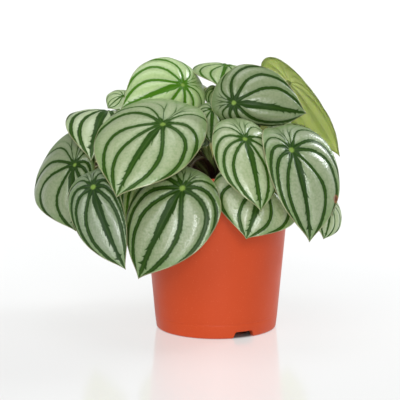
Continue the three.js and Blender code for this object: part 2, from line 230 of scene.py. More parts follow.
# ---- The blades one by one ----
# Every blade, row for row as in the solids: navel, tip, face [turn, lift], half widths, length
# behind the navel, bends [to the tip, behind], bends of the sides, fold and rise.
BLADES = [
    [[-40, -50, 166], [-73, -84, 116], [-20, 32], [36, 48], 37, [35, 25], [38, 28], -4, 0],
    [[-25, -78, 122], [-57, -88, 56], [-22, 12], [36, 38], 22, [30, 50], [30, 35], 0, 38],
    [[21, -74, 158], [32, -102, 109], [16, 35], [29, 26], 30, [40, 30], [60, 35], -2, 6],
    [[35, -67, 123], [22, -82, 85], [8, 15], [34, 37], 23, [35, 40], [30, 35], 0, 38],
    [[55, -75, 150], [68, -89, 84], [28, 10], [37, 24], 28, [40, 50], [40, 30], -12, 14],
    [[13, -40, 181], [68, -30, 172], [5, 14], [35, 21], 19, [35, 40], [40, 95], 0, 0],
    [[58, 20, 192], [97, 10, 134], [130, 20], [26, 22], 27, [18, 20], [30, 30], 0, 0],
    [[-26, 1, 191], [-73, -13, 174], [-10, 22], [28, 32], 22, [35, 40], [30, 30], 0, 0],
    [[8, 26, 204], [2, -6, 190], [0, 34], [30, 26], 16, [30, 40], [25, 25], 0, 0],
    [[-3, -22, 174], [-4, -38, 150], [0, 30], [14, 14], 11, [30, 40], [30, 30], 0, 0],
    [[-85, 16, 169], [-96, -26, 135], [-10, 50], [20, 30], 18, [80, 30], [15, 15], 0, 0],
    [[-75, 42, 178], [-87, 36, 169], [-20, 40], [14, 14], 10, [30, 30], [30, 30], 0, 0],
    [[-110, -12, 130], [-108, -30, 81], [-30, 25], [17, 44], 38, [40, 16], [35, 30], 0, 14],
    [[-92, -60, 120], [-67, -78, 61], [-18, 20], [18, 25], 22, [50, 50], [28, 32], -6, 20],
    [[-47, -49, 137], [-62, -62, 84], [-20, 15], [22, 23], 17, [35, 40], [30, 35], 0, 14],
    [[88, -10, 100], [83, -24, 74], [35, 2], [18, 22], 11, [40, 8], [30, 30], 0, 62],
    [[74, 35, 143], [90, 44, 96], [103, 25], [32, 32], 24, [36, 40], [30, 30], 0, 8],
    [[54, 72, 152], [74, 104, 110], [146, 32], [34, 34], 26, [38, 40], [32, 32], 0, 4],
    [[8, 86, 140], [12, 112, 86], [176, 26], [35, 35], 26, [36, 40], [32, 32], 0, 8],
    [[-28, 84, 152], [-42, 114, 106], [200, 32], [31, 31], 25, [36, 40], [32, 32], 0, 4],
    [[-82, 56, 144], [-106, 82, 98], [229, 28], [33, 33], 25, [36, 40], [32, 32], 0, 6],
    [[-110, 20, 120], [-126, 30, 80], [255, 25], [27, 27], 22, [36, 30], [30, 30], 0, 30],
    [[28, 56, 182], [50, 96, 156], [152, 48], [32, 32], 24, [34, 36], [30, 30], 0, 0],
    [[-34, 52, 188], [-56, 92, 164], [210, 48], [32, 32], 24, [34, 36], [30, 30], 0, 0],
    [[68, 4, 156], [88, -6, 130], [62, 35], [20, 20], 15, [36, 40], [30, 30], 0, 0],
    [[54, 84, 106], [62, 98, 62], [146, 12], [30, 30], 21, [32, 10], [30, 30], 0, 42],
    [[-40, 94, 104], [-48, 108, 60], [203, 12], [29, 29], 21, [32, 10], [30, 30], 0, 46],
    [[-92, 72, 106], [-103, 86, 62], [228, 12], [27, 27], 20, [32, 10], [30, 30], 0, 40],
    [[52, -20, 160], [68, -36, 140], [30, 45], [16, 16], 13, [34, 36], [30, 30], 0, 0],
    [[-50, 0, 160], [-74, -10, 140], [-60, 45], [19, 19], 14, [34, 36], [30, 30], 0, 0],
    [[-2, 42, 168], [-6, 68, 152], [184, 50], [20, 20], 15, [34, 36], [30, 30], 0, 0],
    [[38, 30, 166], [52, 48, 151], [135, 50], [16, 16], 12, [34, 36], [30, 30], 0, 0],
    [[-50, 22, 172], [-68, 32, 158], [242, 50], [17, 17], 13, [34, 36], [30, 30], 0, 0],
    [[-1, 15, 186], [-3, -1, 172], [0, 30], [11, 8], 10, [30, 30], [30, 30], 0, 0],
    [[-18, 24, 174], [-32, 22, 165], [-50, 50], [12, 12], 9, [30, 30], [30, 30], 0, 0],
    [[22, 18, 176], [38, 12, 168], [60, 50], [12, 12], 9, [30, 30], [30, 30], 0, 0],
    [[74, -38, 133], [88, -48, 96], [65, 20], [23, 23], 17, [36, 30], [30, 30], 0, 10],
    [[-80, -22, 143], [-94, -32, 108], [-75, 18], [20, 20], 16, [36, 30], [30, 30], 0, 8],
    [[20, -26, 157], [27, -42, 148], [15, 50], [13, 13], 10, [30, 30], [30, 30], 0, 0],
    [[-16, -20, 152], [-20, -34, 144], [-10, 55], [12, 12], 10, [30, 30], [30, 30], 0, 0],
]

# A blade's colour against the usual, by its number: lighter, or below 0 darker; fresher; greyer. The
# first number is partly the blade's own tone and partly painted light and shade: blades in the shade of
# others and blades turned from the light are painted darker, and some blades that catch the light are
# painted lighter.
# A blade that isn't here draws its own, up to LARGEST_TONES.
TONES = {
    1: (0.1, 0.1, 0.1), 2: (-0.3, 0, 0.1), 3: (0.15, 0.1, 0.1), 4: (0, 0, 0.1), 5: (-0.15, 0, 0.3),
    6: (-0.45, 0.05, 0), 7: (0, 0.5, 0), 8: (0.5, 0.9, 0), 9: (0.3, 0.6, 0), 10: (-0.4, 0.4, 0),
    11: (0.8, 0.1, 0.3), 12: (0.5, 0.5, 0.2), 13: (-0.35, 0, 0.2), 14: (-0.25, 0, 0.8),
    15: (0, 0.4, 0), 16: (0.5, 0.2, 0.2), 34: (-0.4, 0.5, 0), 35: (0.3, 1, 0), 36: (0.3, 1, 0),
    39: (-0.6, 0, 0), 40: (-0.7, 0, 0),
}
LARGEST_TONES = (0.2, 0.3, 0.4)
USUAL_TONE = (0, 0.3, 0)

# How much broader a blade's dark bands are than usual, by its number.
BOLDNESS = {2: 1.1, 3: 0.9, 4: 1.4, 5: 0.9, 11: 1.4, 13: 1.2}

# Brown blemishes, by the blade's number: the place along and across the blade, and the radius.
BLEMISHES = {5: ((42, 26), 5)}


# ---- Meshes ----

def mesh_object(name, points, faces, attributes=None, face_slots=None):
    """A smooth mesh object from points in millimetres, with attributes of three numbers a point."""
    mesh = bpy.data.meshes.new(name)
    mesh.from_pydata((np.asarray(points) * MM).tolist(), [], faces)
    for key, values in (attributes or {}).items():
        made = mesh.attributes.new(key, "FLOAT_VECTOR", "POINT")
        made.data.foreach_set("vector", np.asarray(values, dtype=np.float32).ravel())
    mesh.polygons.foreach_set("use_smooth", [True] * len(mesh.polygons))
    if face_slots is not None:
        mesh.polygons.foreach_set("material_index", face_slots)
    mesh.validate()
    piece = bpy.data.objects.new(name, mesh)
    bpy.context.scene.collection.objects.link(piece)
    return piece


def finish_piece(piece, slot, nodes, *materials):
    """Gives a piece its materials, and has it take the place of the solids' nodes."""
    for material in materials:
        piece.data.materials.append(material)
    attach(piece, "root")
    if nodes:
        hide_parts(*nodes)


def grid_faces(rows, columns, first=0):
    """Quads between rows of a grid of points, closed round the columns."""
    faces = []
    for row in range(rows - 1):
        for column in range(columns):
            here = first + row * columns
            after = (column + 1) % columns
            faces.append((here + column, here + after, here + columns + after, here + columns + column))
    return faces


def tube_faces(points, sides, first=0):
    """The faces of a tube's rings of points, with a flat one over either end."""
    last = first + len(points) - sides
    ends = [tuple(reversed(range(first, first + sides))), tuple(range(last, last + sides))]
    return grid_faces(len(points) // sides, sides, first) + ends


def bezier(points, t):
    """A quadratic or cubic Bezier curve at each t."""
    points = np.asarray(points, dtype=float)
    order = len(points) - 1
    t = np.asarray(t, dtype=float)[..., None]
    return sum(
        math.comb(order, i) * t**i * (1 - t) ** (order - i) * point for i, point in enumerate(points))


# ---- Blade form. The frame, the outline and the bends are those of the solids ----

def blade_from(row):
    """A blade's frame at its navel, its reach along the midrib and its bends in radians."""
    navel, tip, (turn, lift), halves, back, (tip_bend, back_bend), side_bends, fold, rise = row
    turn, lift = math.radians(turn), math.radians(lift)
    start = np.array(navel, dtype=float)
    chord = np.array(tip, dtype=float) - start
    length = np.linalg.norm(chord)
    forward = chord / length
    face = np.array(
        [math.sin(turn) * math.cos(lift), -math.cos(turn) * math.cos(lift), math.sin(lift)])
    up = face - face.dot(forward) * forward
    up /= np.linalg.norm(up)
    half_bend = math.radians(tip_bend) / 2
    return SimpleNamespace(
        start=start, forward=forward, up=up, sideways=np.cross(up, forward), halves=halves,
        back=back, rise=rise, reach=length * half_bend / math.sin(half_bend),
        tip_bend=2 * half_bend, back_bend=math.radians(back_bend),
        side_bends=[math.radians(bend) for bend in side_bends], fold=math.radians(fold))


def half_outline(blade, half, share):
    """Points of one flat side's margin, from the tip at share 0 to behind the navel at share 1."""
    reach, back = blade.reach, blade.back
    widest = WIDEST_AT * reach
    front = bezier(
        [(reach, 0), (TIP_HANDLE[0] * reach, TIP_HANDLE[1] * half),
         (widest + FRONT_FULLNESS * (reach - widest), half), (widest, half)],
        np.minimum(2 * share, 1))
    rear = bezier(
        [(widest, half), (widest - BACK_FULLNESS[0] * (back + widest), half),
         (-back, BACK_FULLNESS[1] * half), (-back, 0)], np.maximum(2 * share - 1, 0))
    return np.where((share < 0.5)[..., None], front, rear)


def side_grid(blade, half, angles, shares):
    """Points of one flat side of the blade: one row a share of the way out, one column a direction."""
    standard = FAN_WIDTH * blade.reach
    edge = half_outline(blade, standard, np.linspace(0, 1, 400))
    edge_angles = np.arctan2(edge[:, 1], edge[:, 0])
    radius = np.interp(angles, edge_angles, np.hypot(edge[:, 0], edge[:, 1]))
    ends = np.stack([radius * np.cos(angles), radius * np.sin(angles) * half / standard], axis=1)
    return shares[:, None, None] * ends


def side_veins(angles, shares, headings, stretch):
    """The veins counted from the midrib, 0 to 5, at each point of a side's grid."""
    own = np.radians(headings)
    own = np.arctan2(np.sin(own) / stretch, np.cos(own))
    fine = np.linspace(0, np.pi, 200)
    counts = np.interp(fine, [0, *own, np.pi], np.arange(SIDE_VEINS + 1))
    at_margin = np.pi * (fine / np.pi) ** MARGIN_SPREAD
    turned = [fine + (at_margin - fine) * share**VEIN_TURN for share in shares]
    return np.array([np.interp(angles, directions, counts) for directions in turned])


def side_spacing(flat, veins):
    """How far apart the veins run, square to them, at each point of a side's grid."""
    x_out, x_round = np.gradient(flat[..., 0])
    y_out, y_round = np.gradient(flat[..., 1])
    v_out, v_round = np.gradient(veins)
    area = x_out * y_round - x_round * y_out
    slope_x = (v_out * y_round - v_round * y_out) / area
    slope_y = (v_round * x_out - v_out * x_round) / area
    return np.minimum(1 / np.hypot(slope_x, slope_y), WIDEST_SPACING)


def whole_grid(blade, shares, headings):
    """Both sides' points, vein counts and vein spacings, from straight back round to straight back."""
    angles = np.pi * (np.arange(SIDE_COLUMNS + 1) / SIDE_COLUMNS) ** COLUMN_SPREAD
    made = []
    for side, half, own in zip((1, -1), blade.halves, headings):
        flat = side_grid(blade, half, angles, shares)
        veins = side_veins(angles, shares, own, half / (FAN_WIDTH * blade.reach))
        spacing = side_spacing(flat, veins)
        flat[..., 1] *= side
        made.append((flat, veins, spacing, np.full(veins.shape, float(side))))
    right, left = made
    return [np.concatenate([b[:, :0:-1], a[:, :-1]], axis=1) for a, b in zip(right, left)]


def bent(blade, flat, height):
    """Carries points of the flat blade, at some height over it, to the bent blade."""
    x, y = flat[..., 0], flat[..., 1]
    first = blade.tip_bend / 2
    ahead, behind = np.maximum(x, 0), np.maximum(-x, 0)
    front_curve, back_curve = blade.tip_bend / blade.reach, blade.back_bend / blade.back
    fore, aft = first - front_curve * ahead, first + back_curve * behind
    along = (np.sin(first) - np.sin(fore)) / front_curve - (np.sin(aft) - np.sin(first)) / back_curve
    above = (np.cos(fore) - np.cos(first)) / front_curve - (np.cos(first) - np.cos(aft)) / back_curve
    slope = (fore + aft - first)[..., None]
    normal = blade.up * np.cos(slope) - blade.forward * np.sin(slope)
    which = (y < 0).astype(int)
    side_curve = (np.array(blade.side_bends) / np.array(blade.halves))[which]
    tilt = blade.fold + side_curve * np.abs(y)
    across = (np.sin(tilt) - math.sin(blade.fold)) / side_curve
    drop = (math.cos(blade.fold) - np.cos(tilt)) / side_curve
    sideways = np.sign(y) * (across + height * np.sin(tilt))
    return (
        blade.start + along[..., None] * blade.forward + above[..., None] * blade.up
        + sideways[..., None] * blade.sideways + (height * np.cos(tilt) - drop)[..., None] * normal)


def relief(blade, veins, spacing, shares, flat):
    """How far the blade stands over its own sheet: swells between veins, dips at the navel."""
    distance = np.linalg.norm(flat, axis=2)
    between = 0.5 - 0.5 * np.cos(2 * np.pi * veins)
    swell = np.tanh(spacing / FULL_SWELL_SPACING) * (1 - 0.6 * shares[:, None] ** 8)
    dip = np.exp(-((distance / (DIMPLE_SHARE * blade.reach)) ** 2))
    return PUCKER * between * swell - DIMPLE * dip


def fine_relief(flat, seed):
    """Slight unevenness of the blade, as between its smallest veins."""
    return np.array([
        0.22 * noise.noise(Vector((x * 0.11, y * 0.11, seed)))
        + 0.1 * noise.noise(Vector((x * 0.3, y * 0.3, seed + 9)))
        for x, y in flat.reshape(-1, 2)]).reshape(flat.shape[:2])


def blade_grid(blade, number, headings):
    """A blade's rings of flat places and heights over them, and what its materials read there.

    The fan is vein count, share of the way out and vein spacing. The place is how far off the
    navel and the margin are, and the side.
    """
    size = blade.reach / USUAL_REACH
    even = np.arange(1, RINGS + 1) / RINGS
    shares = even - RING_CROWDING * np.sin(2 * np.pi * even)
    flat, veins, spacing, side = whole_grid(blade, shares, headings)
    lift = relief(blade, veins, spacing, shares, flat) + fine_relief(flat, 3.7 * number)
    share_grid = np.broadcast_to(shares[:, None], veins.shape)
    fan = np.stack([veins, share_grid, spacing / (size * BOLDNESS.get(number, 1))], axis=-1)
    from_navel = np.linalg.norm(flat, axis=2) / size
    from_margin = (1 - shares)[:, None] * np.linalg.norm(flat[-1], axis=1) / size
    return flat, lift, fan, np.stack([from_navel, from_margin, side], axis=-1)


def blade_layers(blade, flat, lift, fan, place):
    """The layers of both faces, each with its middle first, and then of the rounded margin."""
    length = np.linalg.norm(flat[-1], axis=1)
    middle = np.zeros((1, 3))
    middle_place = np.array([[0, length.min() * USUAL_REACH / blade.reach, 0]])
    share = fan[..., 1]
    thick = BLADE_THICKNESS + (MARGIN_THICKNESS - BLADE_THICKNESS) * share
    layers = []
    for face in (1, -1):
        depth = -DIMPLE + face * BLADE_THICKNESS / 2
        layers.append((middle[:, :2], depth, middle, middle_place))
        layers.append((flat, lift + face * thick / 2, fan, place))
    outward = flat[-1] / length[:, None]
    for step in range(1, RIM_STEPS + 1):
        angle = math.pi * (0.5 - step / (RIM_STEPS + 1))
        out = flat[-1] + outward * MARGIN_THICKNESS / 2 * math.cos(angle)
        height = lift[-1] + MARGIN_THICKNESS / 2 * math.sin(angle)
        layers.append((out, height, fan[-1], place[-1]))
    return layers


def blade_faces():
    """A blade's faces, and their material slots: 0 above and round the margin, 1 below."""
    per_face = 1 + RINGS * COLUMNS
    around = [(c, (c + 1) % COLUMNS) for c in range(COLUMNS)]
    above = [(0, 1 + c, 1 + after) for c, after in around]
    above += [tuple(reversed(quad)) for quad in grid_faces(RINGS, COLUMNS, 1)]
    below = [tuple(per_face + corner for corner in reversed(face)) for face in above]
    rim = [2 * per_face + step * COLUMNS for step in range(RIM_STEPS)]
    rows = [per_face - COLUMNS, *rim, 2 * per_face - COLUMNS]
    margin = [
        (upper + c, lower + c, lower + after, upper + after)
        for upper, lower in zip(rows, rows[1:]) for c, after in around]
    return above + below + margin, [0] * len(above) + [1] * len(below) + [0] * len(margin)


def vein_headings(number, rng):
    """The headings of a blade's veins on each side: its own, or the usual ones with some stray."""
    stray = [rng.uniform(-VEIN_STRAY, VEIN_STRAY, SIDE_VEINS - 1) for _ in range(2)]
    return OWN_HEADINGS.get(number, [VEIN_HEADINGS + side for side in stray])


def blemish_strength(flat, spot, radius):
    """From 1 in the middle of a blemish to 0 at its edge, as an attribute of three numbers."""
    strength = np.clip(1 - np.linalg.norm(flat - spot, axis=1) / radius, 0, 1)
    return np.repeat(strength[:, None], 3, axis=1)


def joined(grids):
    """The rows of all grids in one list."""
    return np.concatenate([grid.reshape(-1, grid.shape[-1]) for grid in grids])


def blade_object(number, row):
    """A blade as a closed mesh, with what its materials read written to its points."""
    blade = blade_from(row)
    rng = np.random.default_rng(BLADE_SEED + number)
    grid = blade_grid(blade, number, vein_headings(number, rng))
    tone = [rng.uniform(0, largest) for largest in LARGEST_TONES]
    flats, heights, fans, places = zip(*blade_layers(blade, *grid))
    points = joined([bent(blade, flat, height) for flat, height in zip(flats, heights)])
    attributes = {
        "fan": joined(fans), "place": joined(places),
        "tone": np.tile(TONES.get(number, tone), (len(points), 1)),
    }
    if number in BLEMISHES:
        attributes["blemish"] = blemish_strength(joined(flats), *BLEMISHES[number])
    faces, slots = blade_faces()
    return mesh_object(f"blade_{number:02d}", points, faces, attributes, slots)


# ---- Crown and stalks ----

def navel_normal(blade):
    """The way that the blade faces at its navel."""
    return blade.up * math.cos(blade.tip_bend / 2) - blade.forward * math.sin(blade.tip_bend / 2)


def stalk_path(blade, t):
    """The stalk's middle line, from the crown to the blade's underside."""
    start = blade.start
    bearing = math.atan2(start[1], start[0])
    spread = min(math.hypot(start[0], start[1]) / FARTHEST_NAVEL, 1)
    outward = np.array([math.cos(bearing), math.sin(bearing), 0])
    root = ROOT_RADIUS * spread * outward
    root[2] = CROWN_TOP - ROOT_DEPTH - ROOT_FALL * spread
    normal = navel_normal(blade)
    span = np.linalg.norm(start - root)
    inward = -END_PULL * span * normal + np.array([0, 0, blade.rise])
    end = start - normal * STALK_END_DEPTH
    climb = (ROOT_LEAN * spread * outward + np.array([0, 0, ROOT_CLIMB])) * span
    return bezier([root, root + climb, end + inward, end], t)


def kept_under(blade, points):
    """A stalk's points, with its slanting end cut off square to the blade, within its thickness."""
    normal = navel_normal(blade)
    over = (points - blade.start).dot(normal) + STALK_END_DEPTH
    return points - np.maximum(over, 0)[:, None] * normal


def tube(path, radii, sides):
    """Points of a tube round a path, with a frame that doesn't twist."""
    heading = np.gradient(path, axis=0)
    heading /= np.linalg.norm(heading, axis=1, keepdims=True)
    across = np.cross(heading[0], [0.3, 0.9, 0.1])
    rows = []
    angles = 2 * np.pi * np.arange(sides) / sides
    for centre, ahead, radius in zip(path, heading, radii):
        across = across - across.dot(ahead) * ahead
        across /= np.linalg.norm(across)
        other = np.cross(ahead, across)
        ring = np.outer(np.cos(angles), across) + np.outer(np.sin(angles), other)
        rows.append(centre + ring * radius)
    return np.concatenate(rows)


def stalk_radii(t, size):
    """Thickest at the crown, slim under the blade, and flared where it joins the blade."""
    taper = 1.25 - 0.35 * t
    foot = 0.9 * np.exp(-((t / 0.05) ** 2))
    flare = 0.45 * np.exp(-(((1 - t) / 0.035) ** 2))
    return STALK_RADIUS * (0.62 + 0.38 * size) * (taper + foot + flare)


def crown_points():
    """A short lumpy stem that stands in the soil."""
    profile = [
        (0.1, SOIL_LEVEL - 6), (CROWN_RADIUS, SOIL_LEVEL - 4), (CROWN_RADIUS, SOIL_LEVEL + 2),
        (CROWN_RADIUS * 0.94, SOIL_LEVEL + 4.5), (CROWN_RADIUS * 0.78, CROWN_TOP - 2.2),
        (CROWN_RADIUS * 0.4, CROWN_TOP - 0.6), (0.1, CROWN_TOP - 0.2)]
    angles = 2 * np.pi * np.arange(CROWN_SIDES) / CROWN_SIDES
    rows = []
    for radius, height in smooth_profile(profile, 5):
        bumps = 1 + 0.06 * np.sin(7 * angles + height) - 0.05 * np.cos(4 * angles - 0.7 * height)
        around = radius * bumps
        rows.append(np.stack(
            [around * np.cos(angles), around * np.sin(angles), np.full(CROWN_SIDES, height)], axis=1))
    return np.concatenate(rows)


def smooth_profile(profile, steps):
    """Points on a smooth curve through a profile of (radius, height)."""
    points = np.array(profile, dtype=float)
    padded = np.concatenate([points[:1], points, points[-1:]])
    t = (np.arange(steps) / steps)[:, None]
    parts = []
    for before, here, there, after in zip(padded, padded[1:], padded[2:], padded[3:]):
        parts.append(0.5 * (
            2 * here + (there - before) * t + (2 * before - 5 * here + 4 * there - after) * t**2
            + (3 * here - before - 3 * there + after) * t**3))
    return np.concatenate(parts + [points[-1:]])


def stems_object():
    """The crown with all its stalks, and how far along its stalk each point lies."""
    even = np.linspace(0, 1, STALK_STEPS)
    t = even - STALK_CROWDING * np.sin(2 * np.pi * even) / (2 * np.pi)
    crown = crown_points()
    parts, marks, count = [crown], [np.zeros((len(crown), 3))], len(crown)
    faces = tube_faces(crown, CROWN_SIDES)
    for number, blade in enumerate(map(blade_from, BLADES), 1):
        size = min(blade.reach / USUAL_REACH, LARGEST_STALK)
        stalk = kept_under(blade, tube(stalk_path(blade, t), stalk_radii(t, size), STALK_SIDES))
        fresher = TONES.get(number, USUAL_TONE)[1]
        marks.append([(along, 0, fresher) for along in np.repeat(t, STALK_SIDES)])
        faces += tube_faces(stalk, STALK_SIDES, count)
        parts.append(stalk)
        count += len(stalk)
    attributes = {"along": np.concatenate(marks)}
    return mesh_object("crown_and_stalks", np.concatenate(parts), faces, attributes)


# ---- Pot ----

def wall_radius(height):
    return BASE_RADIUS + (WALL_TOP_RADIUS - BASE_RADIUS) * height / WALL_TOP_HEIGHT


def rounded(corners):
    """A profile whose corners (radius, height, rounding) are rounded off."""
    points = []
    for i, (r, z, rounding) in enumerate(corners):
        here = np.array([r, z], dtype=float)
        if rounding == 0 or i in (0, len(corners) - 1):
            points.append(here)
            continue
        before = np.array(corners[i - 1][:2], dtype=float) - here
        after = np.array(corners[i + 1][:2], dtype=float) - here
        start = here + before / np.linalg.norm(before) * rounding
        end = here + after / np.linalg.norm(after) * rounding
        points.extend(bezier([start, here, end], np.linspace(0, 1, ROUNDING_STEPS + 1)))
    return points


def pot_profile():
    """The pot's section as radius and height, from the disc below round the lip to the floor."""
    line_foot, line_top = MOULD_LINE - MOULD_LINE_HALF_WIDTH, MOULD_LINE + MOULD_LINE_HALF_WIDTH
    floor_top = FOOT_HEIGHT + FLOOR
    collar_foot = WALL_TOP_HEIGHT + COLLAR_STEP
    corners = [
        (0, 0, 0), (DISC_RADIUS, 0, 0.5), (DISC_RADIUS + DISC_SLOPE, FOOT_HEIGHT, 0.5),
        (FOOT_INNER_RADIUS - 1, FOOT_HEIGHT, 0.5), (FOOT_INNER_RADIUS, 0, 0.4),
        (BASE_RADIUS - 0.3, 0, 1.5), (wall_radius(line_foot), line_foot, 0.1),
        (wall_radius(MOULD_LINE) - MOULD_LINE_DEPTH, MOULD_LINE, 0.1),
        (wall_radius(line_top), line_top, 0.1),
        (WALL_TOP_RADIUS, WALL_TOP_HEIGHT, 0.8),
        (WALL_TOP_RADIUS + COLLAR_STEP, collar_foot, 0.9),
        (LIP_RADIUS - 0.9, POT_HEIGHT - 4.4, 0.4), (LIP_RADIUS, POT_HEIGHT - 3.4, 0.6),
        (LIP_RADIUS, POT_HEIGHT, 1.1), (LIP_RADIUS - 2, POT_HEIGHT, 0.6),
        (WALL_TOP_RADIUS + COLLAR_STEP - WALL, collar_foot + 0.6, 0.8),
        (WALL_TOP_RADIUS - WALL, WALL_TOP_HEIGHT + 0.6, 0.8),
        (wall_radius(floor_top) - WALL, floor_top, 0.8), (DISC_RADIUS, floor_top, 0.5),
        (DISC_RADIUS - DISC_SLOPE, FLOOR, 0.5), (0, FLOOR, 0)]
    return rounded(corners)


def rings(profile, sides):
    """A ring of points for every radius and height of a profile."""
    angles = 2 * np.pi * np.arange(sides) / sides
    circle = np.stack([np.cos(angles), np.sin(angles), np.zeros(sides)], axis=1)
    return [circle * radius + np.array([0, 0, height]) for radius, height in profile]


def lathe(name, profile, sides):
    """A closed turned mesh. The profile starts and ends on the axis."""
    rows = rings(profile[1:-1], sides)
    points = np.concatenate(rows + [[[0, 0, profile[0][1]], [0, 0, profile[-1][1]]]])
    return mesh_object(name, points, pointed_faces(len(rows), sides))


def pointed_faces(rows, sides):
    """Faces of rings of points, closed by fans to the two points that come after them."""
    faces = grid_faces(rows, sides)
    last, low, high = (rows - 1) * sides, rows * sides, rows * sides + 1
    for i in range(sides):
        after = (i + 1) % sides
        faces.append((low, after, i))
        faces.append((high, last + i, last + after))
    return faces


def notch_cutter(angle):
    """A block that cuts one drainage notch, wider below."""
    near, far = FOOT_INNER_RADIUS - 3, BASE_RADIUS + 3
    foot, top = NOTCH_WIDTH / 2, NOTCH_TOP_WIDTH / 2
    section = [
        (-foot, -1), (foot, -1), (top + 0.5, NOTCH_HEIGHT - 0.9), (top - 0.5, NOTCH_HEIGHT),
        (-top + 0.5, NOTCH_HEIGHT), (-top - 0.5, NOTCH_HEIGHT - 0.9)]
    cos, sin = math.cos(math.radians(angle)), math.sin(math.radians(angle))
    points = [(r * cos - u * sin, r * sin + u * cos, z) for r in (near, far) for u, z in section]
    return mesh_object("notch_cutter", points, tube_faces(points, len(section)))


def pot_object():
    pot = lathe("pot_shell", pot_profile(), POT_SIDES)
    for i in range(NOTCH_COUNT):
        cutter = notch_cutter(NOTCH_FIRST_ANGLE + 360 / NOTCH_COUNT * i)
        cut = pot.modifiers.new("notch", "BOOLEAN")
        cut.operation = "DIFFERENCE"
        cut.solver = "EXACT"
        cut.object = cutter
        apply_modifiers(pot)
        bpy.data.objects.remove(cutter)
    pot.data.set_sharp_from_angle(angle=math.radians(POT_CREASE_ANGLE))
    return pot


def apply_modifiers(piece):
    """Replaces a piece's mesh with the one that its modifiers make."""
    depsgraph = bpy.context.evaluated_depsgraph_get()
    mesh = bpy.data.meshes.new_from_object(piece.evaluated_get(depsgraph))
    piece.modifiers.clear()
    piece.data = mesh


# ---- Soil ----

def soil_height(x, y):
    """The soil's low lumps, which die out towards the wall, as in the solids."""
    lumps = np.sin(0.21 * x + 1.3) * np.cos(0.17 * y - 0.6) + 0.6 * np.sin(0.43 * x - 0.35 * y)
    to_wall = np.hypot(x, y) / WALL_TOP_RADIUS
    return SOIL_LEVEL + SOIL_BUMP * lumps * (1 - to_wall**4)


def crumbs(x, y):
    """The crumbly top of the soil, over its low lumps."""
    total = 0.0
    for scale, size in ((0.16, 1.1), (0.42, 0.7), (1.1, 0.35)):
        total += size * abs(noise.noise(Vector((x * scale, y * scale, 5.1))))
    return total - 0.5


def soil_object():
    """The soil that fills the pot, closed below and round its side."""
    outer = WALL_TOP_RADIUS - WALL - SOIL_SIDE_GAP
    angles = 2 * np.pi * np.arange(SOIL_SIDES) / SOIL_SIDES
    rows = []
    for ring in range(SOIL_RINGS, 0, -1):
        radius = outer * ring / SOIL_RINGS
        x, y = radius * np.cos(angles), radius * np.sin(angles)
        rise = np.array([crumbs(a, b) for a, b in zip(x, y)]) * (1 if ring < SOIL_RINGS else 0.3)
        rows.append(np.stack([x, y, soil_height(x, y) + rise], axis=1))
    disc_top, floor_top = FLOOR + SOIL_FLOOR_GAP, FOOT_HEIGHT + FLOOR + SOIL_FLOOR_GAP
    side = [
        (DISC_RADIUS - DISC_SLOPE - SOIL_FLOOR_GAP, disc_top), (DISC_RADIUS - SOIL_FLOOR_GAP, floor_top),
        (wall_radius(floor_top) - WALL - SOIL_FLOOR_GAP, floor_top), (outer, WALL_TOP_HEIGHT)]
    below = rings(side, SOIL_SIDES)
    ends = [[0, 0, disc_top], [0, 0, float(soil_height(0, 0))]]
    points = np.concatenate(below + rows + [ends])
    return mesh_object("soil_mass", points, pointed_faces(len(below) + len(rows), SOIL_SIDES))


def grain(centre, size, stretch):
    """One small uneven lump with twenty faces."""
    golden = (1 + math.sqrt(5)) / 2
    corners = np.array([
        np.roll((x, y * golden, 0), shift) for shift in range(3) for y in (1, -1) for x in (-1, 1)])
    faces = [
        (0, 11, 5), (0, 5, 1), (0, 1, 7), (0, 7, 10), (0, 10, 11), (1, 5, 9), (5, 11, 4),
        (11, 10, 2), (10, 7, 6), (7, 1, 8), (3, 9, 4), (3, 4, 2), (3, 2, 6), (3, 6, 8),
        (3, 8, 9), (4, 9, 5), (2, 4, 11), (6, 2, 10), (8, 6, 7), (9, 8, 1)]
    uneven = RNG.uniform(0.75, 1.2, (len(corners), 1))
    shape = corners / 1.9 * uneven * np.array([stretch, 1, 0.75])
    turn = RNG.uniform(0, 2 * np.pi)
    cos, sin = math.cos(turn), math.sin(turn)
    spin = np.array([[cos, -sin, 0], [sin, cos, 0], [0, 0, 1]])
    return centre + shape @ spin.T * size, faces


def grains_object():
    """Bark crumbs and white perlite that lie half sunk in the soil."""
    points, faces, marks, count = [], [], [], 0
    for _ in range(SOIL_GRAINS):
        radius = (WALL_TOP_RADIUS - 4.5) * math.sqrt(RNG.uniform(0.04, 1))
        angle = RNG.uniform(0, 2 * np.pi)
        x, y = radius * math.cos(angle), radius * math.sin(angle)
        white = RNG.uniform() < PERLITE_SHARE
        size = RNG.uniform(0.7, 1.6) if white else RNG.uniform(0.8, 2.2)
        stretch = 1.1 if white else RNG.uniform(1, 2)
        z = float(soil_height(x, y)) + crumbs(x, y) + 0.2 * size
        made, sides = grain(np.array([x, y, z]), size, stretch)
        points.append(made)
        faces += [tuple(count + corner for corner in side) for side in sides]
        marks.append(np.tile([float(white), RNG.uniform(), 0], (len(made), 1)))
        count += len(made)
    attributes = {"grain": np.concatenate(marks)}
    return mesh_object("soil_grains", np.concatenate(points), faces, attributes)


# ---- Materials ----

